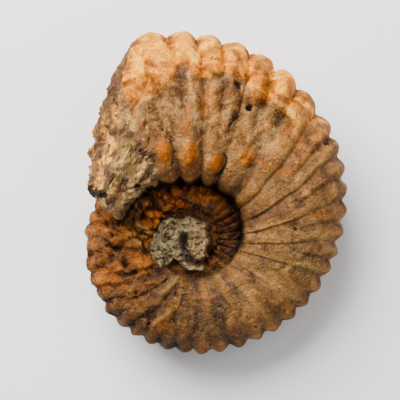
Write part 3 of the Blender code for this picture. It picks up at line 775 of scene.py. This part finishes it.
    # painted shade and dirt in the low places and wear on the high ones, chips, fine light and dark grains,
    # specks and painted glints, and black crust and painted shade in pits and seams
    # painted shade and dirt in the low places: more on the early turns and in the valleys of the bright outer
    # layer
    lowShadeAndDirt = sums(tree, "MAXIMUM", mapped(tree, wander, 330.0, 230.0, (0.25, 0.75)),
                 sums(tree, "MULTIPLY", outer, 0.6))
    paintedLightAndWear = addNode(tree, "ShaderNodeGroup", {"node_tree": shadeAndWear}, Colour=base, High=trait(tree, "crest"),
                   Noise=mottle, Dirt=lowShadeAndDirt, Rub=0.2)
    earliest = mapped(tree, turn, 85.0, 20.0, (0.0, 0.75))
    base = mixColour(tree, earliest, paintedLightAndWear.outputs["Colour"], look["rustDark"])
    base = tinted(tree, base, [(0.34, (0.74, 0.70, 0.66)), (0.5, (1.0, 1.0, 1.0)), (0.66, (1.25, 1.22, 1.2))],
                  streaks)
    base = tinted(tree, base, look["lightness"], linear(tree, turn, *look["lightTurns"]))
    # painted light: the early whorls are made lighter where they show in the umbilicus, which the last whorl
    # shades
    shelf = sums(tree, "MULTIPLY", mapped(tree, turn, 55.0, 95.0), mapped(tree, turn, 165.0, 140.0))
    base = mixColour(tree, shelf, base, look["umbilicusTint"], "MULTIPLY")
    base = tinted(tree, base, [(0.0, (0.84, 0.82, 0.80)), (1.0, (1.12, 1.12, 1.12))], chips)
    base = tinted(tree, base,
                  [(0.32, (0.76, 0.74, 0.72)), (0.50, (1.0, 1.0, 1.0)), (0.68, (1.25, 1.25, 1.25))], fine)
    # pale rims of chips, and a painted highlight along the steep side of the ribs
    edges = sums(tree, "MAXIMUM", sums(tree, "MULTIPLY", speck.outputs["Rim"], 0.35),
                 sums(tree, "MULTIPLY", trait(tree, "ridgeHighlight"), mapped(tree, fine, 0.35, 0.6, (0.1, 0.6))))
    base = mixColour(tree, edges, base, look["pale"])
    flecks = sums(tree, "MULTIPLY", speck.outputs["Fleck"], mapped(tree, turn, 330.0, 240.0, (0.45, 0.85)))
    base = mixColour(tree, flecks, base, look["rustDark"])
    # painted glints: cream specks, stronger on the later turns
    sparkles = sums(tree, "MULTIPLY", speck.outputs["Sparkle"], mapped(tree, turn, 200.0, 290.0, (0.08, 0.4)))
    base = mixColour(tree, sparkles, base, look["cream"])
    # black crust, and painted shade in pits, gaps, grooves and under the flaked edge
    base = mixColour(tree, mapped(tree, trait(tree, "pit"), 0.25, 0.6, (0.0, 0.95)), base, look["blackAndShade"])
    # painted shade deep in the seams
    base = mixColour(tree, mapped(tree, trait(tree, "seamShade"), 0.15, 0.8, (0.0, 0.96)), base, look["blackAndShade"])
    base = mixColour(tree, 1.0, base, look["palest"], "DARKEN")
    tree.links.new(base, finish.inputs["Base Color"])
    tree.links.new(mapped(tree, mottle, 0.3, 0.7, (0.7, 0.5)), finish.inputs["Roughness"])
    bump = addNode(tree, "ShaderNodeBump", Strength=1.0, Distance=0.0006, Height=speck.outputs["Height"])
    tree.links.new(bump.outputs[0], finish.inputs["Normal"])
    finish.inputs["Specular IOR Level"].default_value = 0.06
    return stone


def greyGreenRock(grain, shadeAndWear):
    look = {"pale": (0.33, 0.245, 0.105), "green": (0.140, 0.104, 0.044), "brown": (0.13, 0.058, 0.022),
            "rub": (0.46, 0.35, 0.16), "hollow": (0.100, 0.052, 0.040), "warm": (0.27, 0.145, 0.052)}
    rock = bpy.data.materials.new("grey green rock")
    rock.use_nodes = True
    tree = rock.node_tree
    finish = tree.nodes["Principled BSDF"]
    speck = addNode(tree, "ShaderNodeGroup", {"node_tree": grain}, Patch_Size=4.0, Mottle_Size=1.8,
                    Grain_Size=0.7, Pebbly=1.0)
    base = ramp(tree, speck.outputs["Mottle"],
                [(0.36, look["brown"]), (0.46, look["green"]), (0.60, look["pale"])])
    base = mixColour(tree, mapped(tree, speck.outputs["Patch"], 0.54, 0.66, (0.0, 0.7)), base, look["brown"])
    base = mixColour(tree, sums(tree, "MULTIPLY", trait(tree, "warm"), 0.7), base, look["warm"])
    # painted shade and dirt in the low places and at the plug's edge, and a paler rubbed colour on the high
    # ones
    paintedLightAndWear = addNode(tree, "ShaderNodeGroup", {"node_tree": shadeAndWear}, Colour=base, High=trait(tree, "crest"),
                   Noise=speck.outputs["Mottle"], Dirt=0.95, Rub=0.45)
    paintedLightAndWear.inputs["Rub Colour"].default_value = (*look["rub"], 1)
    base = mixColour(tree, trait(tree, "hollow"), paintedLightAndWear.outputs["Colour"], look["hollow"])
    tree.links.new(base, finish.inputs["Base Color"])
    finish.inputs["Roughness"].default_value = 0.85
    bump = addNode(tree, "ShaderNodeBump", Strength=0.8, Distance=0.0006, Height=speck.outputs["Height"])
    tree.links.new(bump.outputs[0], finish.inputs["Normal"])
    return rock


# rubbly rock in the umbilicus: mm from the coil's middle for its outline, the crooked hollow and the raised rim
# below that, the heights of its top and foot, and the size of its blocks
plug = {"middle": (-3.4, -1.8), "top": 6.6, "foot": 2.2,
        "outline": ((4.1, -2.6), (4.1, 2.0), (4.0, 3.8), (2.3, 4.8), (-3.5, 5.3), (-7.0, 4.8), (-9.2, 2.5),
                    (-10.6, -1.6), (-10.4, -5.5), (-9.8, -8.8), (-7.3, -7.1), (-5.5, -6.5), (-4.6, -5.0),
                    (-3.4, -5.9), (-1.9, -7.8), (0.2, -8.6), (3.2, -8.9), (3.6, -6.8)),
        "hollow": ((-2.0, 0.3), (-1.6, -3.0), (-0.3, -5.4), (1.2, -6.3), (3.0, -5.8)), "hollowWidth": 0.95,
        "rim": ((-4.0, -4.0), (-2.2, -6.4), (0.2, -7.8), (3.0, -8.1)), "hollowDepth": 2.6, "edgeDrop": 2.6,
        "columns": 200, "rings": 70, "bigBlocks": 2.6, "smallBlocks": 1.1, "footShrink": 0.02}


def matrixPlug(material):
    columns, rings = plug["columns"], plug["rings"]
    angle = np.linspace(0, 2 * np.pi, columns, endpoint=False)[None, :]
    share = np.linspace(1, 0, rings, endpoint=False)[:, None] ** 0.85
    offset = np.array(plug["outline"]) - plug["middle"]
    bearing = np.arctan2(offset[:, 1], offset[:, 0])
    order = np.argsort(bearing)
    reach = np.interp(angle, bearing[order], np.hypot(*offset.T)[order], period=2 * np.pi)
    wavy = reach * (1 + 0.08 * lumps(np.stack([np.cos(angle), np.sin(angle), 0 * angle], -1), 0.3, 2, 8.0))
    x = plug["middle"][0] + wavy * share * np.cos(angle)
    y = plug["middle"][1] + wavy * share * np.sin(angle)
    flat = np.stack([x, y, 0 * x], -1)
    rim = ease(1.0, 0.88, share + 0.05 * lumps(flat, 1.6, 2, 2.0))
    wander = toLine(flat + 0.5 * lumps(flat, 1.6, 3, 4.0)[..., None], plug["hollow"])
    hollow = np.exp(-(wander / plug["hollowWidth"]) ** 4)
    raised = np.exp(-(toLine(flat, plug["rim"]) / 0.8) ** 2)
    bent = flat + 0.5 * lumps(flat, 1.1, 3, 9.0)[..., None]
    coarse, gap = rubble(bent, plug["bigBlocks"], np.ones(x.shape), 3.0)
    small, crack = rubble(bent, plug["smallBlocks"], np.ones(x.shape), 8.0)
    opened = ease(-0.1, 0.4, lumps(flat, 2.2, 2, 6.0))
    holes = ease(0.38, 0.55, lumps(flat, 0.7, 2, 5.0))
    rough = (0.6 * lumps(flat, 2.6, 3, 3.0) + 0.35 * lumps(flat, 0.9, 2, 12.0) + 0.8 * (coarse - 0.5)
             + 0.5 * (small - 0.5) - opened * (0.6 * gap + 0.3 * crack) - 0.7 * holes + 0.5 * raised)
    z = plug["top"] + rough - plug["edgeDrop"] * (1 - rim) - plug["hollowDepth"] * hollow
    top = np.stack([x, y, z], -1).reshape(-1, 3)
    shrink = plug["footShrink"]
    foot = np.stack([x[0] * (1 - shrink) + shrink * plug["middle"][0],
                     y[0] * (1 - shrink) + shrink * plug["middle"][1], plug["foot"] + 0 * x[0]], -1)
    middles = [[*plug["middle"], float(z[-1].mean())], [*plug["middle"], plug["foot"]]]
    points = np.concatenate([foot, top, middles])
    faces = gridFaces(rings + 1, columns)
    last = rings * columns
    faces += [(last + j, last + (j + 1) % columns, len(points) - 2) for j in range(columns)]
    faces += [((j + 1) % columns, j, len(points) - 1) for j in range(columns)]
    # how high each point is, lower at the edge, for the painted shade and dirt in the low places
    high = np.concatenate([0 * foot[:, 0], (0.62 + 0.55 * rough - 0.5 * (1 - rim)).ravel(), [0.5, 0]])
    inHollow = np.concatenate([0 * foot[:, 0], hollow.ravel(), [0, 0]])
    warm = ease(-1.2, 0.4, points[:, 0]) * ease(-6.0, -4.5, points[:, 1])
    return addPiece("matrixPlug", points, faces, {"crest": high, "hollow": inHollow, "warm": warm}, material)


def floorAndLight():
    studio = {"floorSize": 4.0, "floorColour": (0.93, 0.93, 0.93), "sky": 0.38,
              "lamps": (("key", (-0.24, 0.40, 0.44), 15.5, 0.6), ("fill", (0.35, -0.05, 0.60), 1.5, 0.6))}
    bpy.ops.mesh.primitive_plane_add(size=studio["floorSize"])
    floor = bpy.context.object
    floor.name = "floor"
    paper = bpy.data.materials.new("white paper")
    paper.use_nodes = True
    shine = paper.node_tree.nodes["Principled BSDF"]
    shine.inputs["Base Color"].default_value = (*studio["floorColour"], 1)
    shine.inputs["Roughness"].default_value = 0.9
    floor.data.materials.append(paper)
    world = bpy.data.worlds.new("soft room")
    world.use_nodes = True
    world.node_tree.nodes["Background"].inputs["Color"].default_value = (1, 1, 1, 1)
    world.node_tree.nodes["Background"].inputs["Strength"].default_value = studio["sky"]
    bpy.context.scene.world = world
    for name, place, power, size in studio["lamps"]:
        lamp = bpy.data.lights.new(name, "AREA")
        lamp.energy = power
        lamp.size = size
        light = bpy.data.objects.new(name, lamp)
        light.location = place
        light.rotation_euler = Vector(place).to_track_quat("Z", "Y").to_euler()
        bpy.context.scene.collection.objects.link(light)


def camera():
    # looks along the coil's axis, with a frame 100 mm wide at the coil's plane
    view = {"aim": (2.0, 9.5, 0.0), "distance": 520.0, "frame": 100.0}
    lens = bpy.data.cameras.new("camera")
    lens.angle = 2 * math.atan(view["frame"] / 2 / view["distance"])
    eye = bpy.data.objects.new("camera", lens)
    eye.matrix_world = (coilPlace @ Matrix.Translation(Vector(view["aim"]) * mm
                                                       + Vector((0, 0, view["distance"])) * mm))
    bpy.context.scene.collection.objects.link(eye)
    bpy.context.scene.camera = eye


grain, shadeAndWear = grainGroup(), shadeAndWearGroup()
ochre, rock = ochreStone(grain, shadeAndWear), greyGreenRock(grain, shadeAndWear)
print("materials are made")

fossil = [lastWhorl(ochre), innerWhorls(ochre)]
print("whorls:", [len(piece.data.polygons) for piece in fossil])
for piece in fossil:
    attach(piece, "root")
    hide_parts("ammonite")
filling = matrixPlug(rock)
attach(filling, "root")
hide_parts("umbilicus_matrix")
print("plug:", len(filling.data.polygons))

floorAndLight()
camera()
